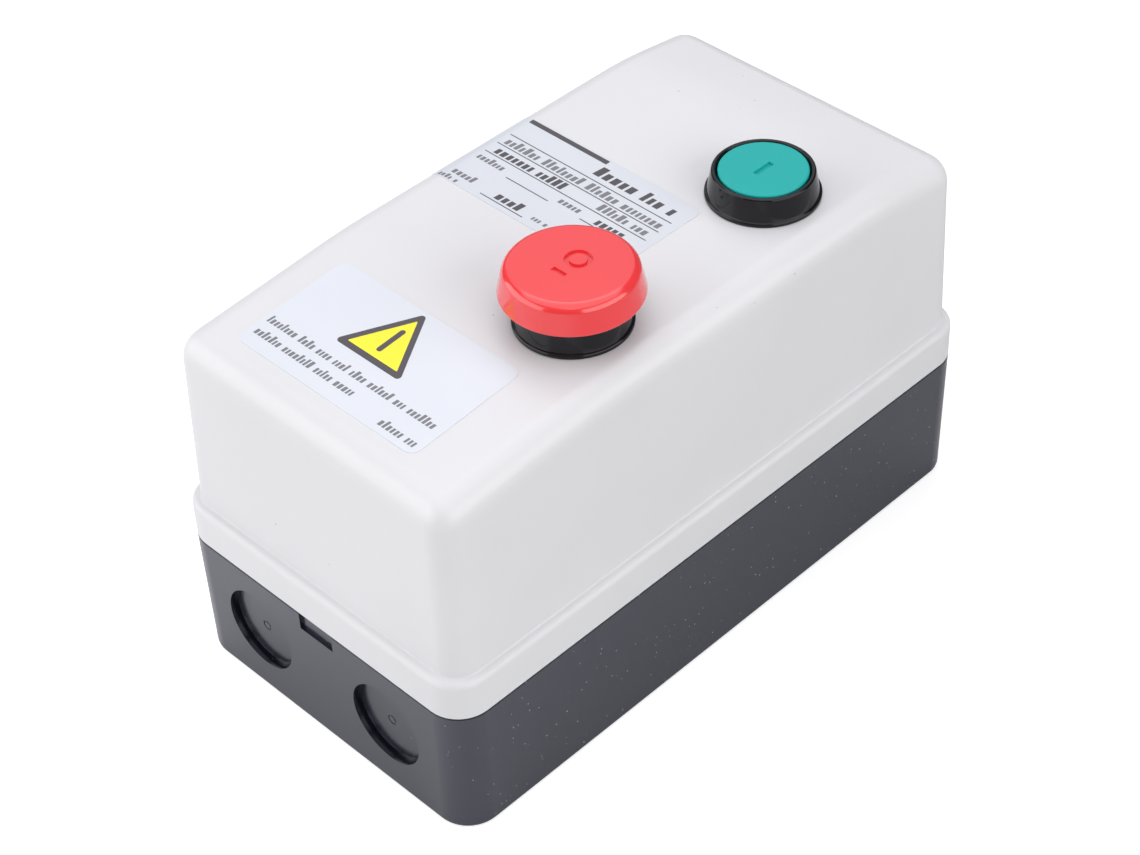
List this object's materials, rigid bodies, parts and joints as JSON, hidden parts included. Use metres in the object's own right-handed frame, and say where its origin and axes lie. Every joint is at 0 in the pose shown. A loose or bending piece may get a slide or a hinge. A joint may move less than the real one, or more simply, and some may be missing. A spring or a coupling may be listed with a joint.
{
  "type": "magnetic motor starter",
  "caption": "Direct-on-line motor starter in a two-part plastic enclosure with a flush green ON button and a red mushroom OFF button over a contactor and overload relay",
  "frame": {"origin": "centre of the flat back (mounting) face", "axes": "+Z out of the front face, +Y to the end with the ON button, +X to the side that the buttons are nearer"},
  "size_m": [0.0922, 0.17, 0.112],
  "materials": {
    "cover_white": "fine satin moulded plastic, slightly cool white",
    "base_charcoal": "satin moulded plastic, dark grey",
    "label_film": "printed polyester film",
    "collar_black": "polished moulded plastic",
    "button_green": "moulded plastic, semi gloss",
    "button_red": "moulded plastic, semi gloss",
    "phenolic_black": "moulded thermoset",
    "bobbin_cream": "moulded nylon",
    "carrier_red": "moulded nylon",
    "dial_yellow": "moulded nylon",
    "wire_blue": "extruded insulation",
    "steel_plated": "zinc plated",
    "spring_steel": "drawn wire",
    "lamination_steel": "stacked laminations, ground faces",
    "brass_contact": "pressed strip",
    "coil_copper": "drawn and enamelled",
    "screw_green": "green passivated"
  },
  "bodies": {
    "base": {"base_housing": "base_charcoal", "carrier_spring": "spring_steel", "contactor_base": "phenolic_black", "contactor_head": "phenolic_black", "magnet_core": "lamination_steel", "coil_bobbin": "bobbin_cream", "coil_winding": "coil_copper", "start_switch": "bobbin_cream", "relay_base": "phenolic_black", "relay_cover": "phenolic_black", "earth_bar": "brass_contact", "earth_screw": "screw_green", "start_wire": "wire_blue", "stop_wire": "wire_blue", "contactor_screw_1": "steel_plated", "contactor_screw_2": "steel_plated", "line_terminal_1": "brass_contact", "load_terminal_1": "brass_contact", "line_screw_1": "steel_plated", "load_screw_1": "steel_plated", "motor_screw_1": "steel_plated", "relay_link_1": "coil_copper", "heater_strip_1": "coil_copper", "line_terminal_2": "brass_contact", "load_terminal_2": "brass_contact", "line_screw_2": "steel_plated", "load_screw_2": "steel_plated", "motor_screw_2": "steel_plated", "relay_link_2": "coil_copper", "heater_strip_2": "coil_copper", "line_terminal_3": "brass_contact", "load_terminal_3": "brass_contact", "line_screw_3": "steel_plated", "load_screw_3": "steel_plated", "motor_screw_3": "steel_plated", "relay_link_3": "coil_copper", "heater_strip_3": "coil_copper"},
    "cover": {"front_cover": "cover_white", "rating_label": "label_film", "caution_label": "label_film", "on_collar": "collar_black", "off_collar": "collar_black", "on_ring_nut": "phenolic_black", "off_ring_nut": "phenolic_black", "on_spring": "spring_steel", "off_spring": "spring_steel"},
    "on_push": {"on_button": "button_green", "on_clip": "steel_plated"},
    "off_push": {"off_button": "button_red", "off_clip": "steel_plated"},
    "start_plunger": {"start_plunger": "button_green"},
    "reset_plunger": {"reset_plunger": "carrier_red"},
    "carrier": {"contact_carrier": "carrier_red", "armature": "lamination_steel", "contact_bridge_1": "brass_contact", "contact_bridge_2": "brass_contact", "contact_bridge_3": "brass_contact"},
    "dial": {"current_dial": "dial_yellow"},
    "trip": {"trip_bar": "bobbin_cream"}
  },
  "joints": [
    {"name": "cover_tilt", "type": "hinge", "parent": "base", "child": "cover", "pos_m": [0, 0.085, 0.0358], "axis": [-1, 0, 0], "range_deg": [0, 60]},
    {"name": "on_press", "type": "slide", "parent": "cover", "child": "on_push", "axis": [0, 0, -1], "range_m": [0, 0.0035], "stiffness_N_per_m": 600, "springref_m": -0.004, "deforming": ["on_spring"]},
    {"name": "off_press", "type": "slide", "parent": "cover", "child": "off_push", "axis": [0, 0, -1], "range_m": [0, 0.0045], "stiffness_N_per_m": 600, "springref_m": -0.004, "deforming": ["off_spring"]},
    {"name": "start_follow", "type": "slide", "parent": "base", "child": "start_plunger", "axis": [0, 0, -1], "range_m": [0, 0.0035]},
    {"name": "reset_follow", "type": "slide", "parent": "base", "child": "reset_plunger", "axis": [0, 0, -1], "range_m": [0, 0.0045]},
    {"name": "carrier_pull", "type": "slide", "parent": "base", "child": "carrier", "axis": [0, 0, -1], "range_m": [0, 0.0042], "stiffness_N_per_m": 600, "springref_m": -0.005, "deforming": ["carrier_spring"]},
    {"name": "dial_turn", "type": "hinge", "parent": "base", "child": "dial", "pos_m": [-0.006, -0.032, 0.0786], "axis": [0, 0, -1], "range_deg": [-120, 120]},
    {"name": "trip_slide", "type": "slide", "parent": "base", "child": "trip", "axis": [0, 1, 0], "range_m": [0, 0.0015], "stiffness_N_per_m": 150, "springref_m": -0.001}
  ],
  "couplings": [
    {"joint": "start_follow", "follows": "on_press", "ratio": 1},
    {"joint": "reset_follow", "follows": "off_press", "ratio": 1}
  ]
}
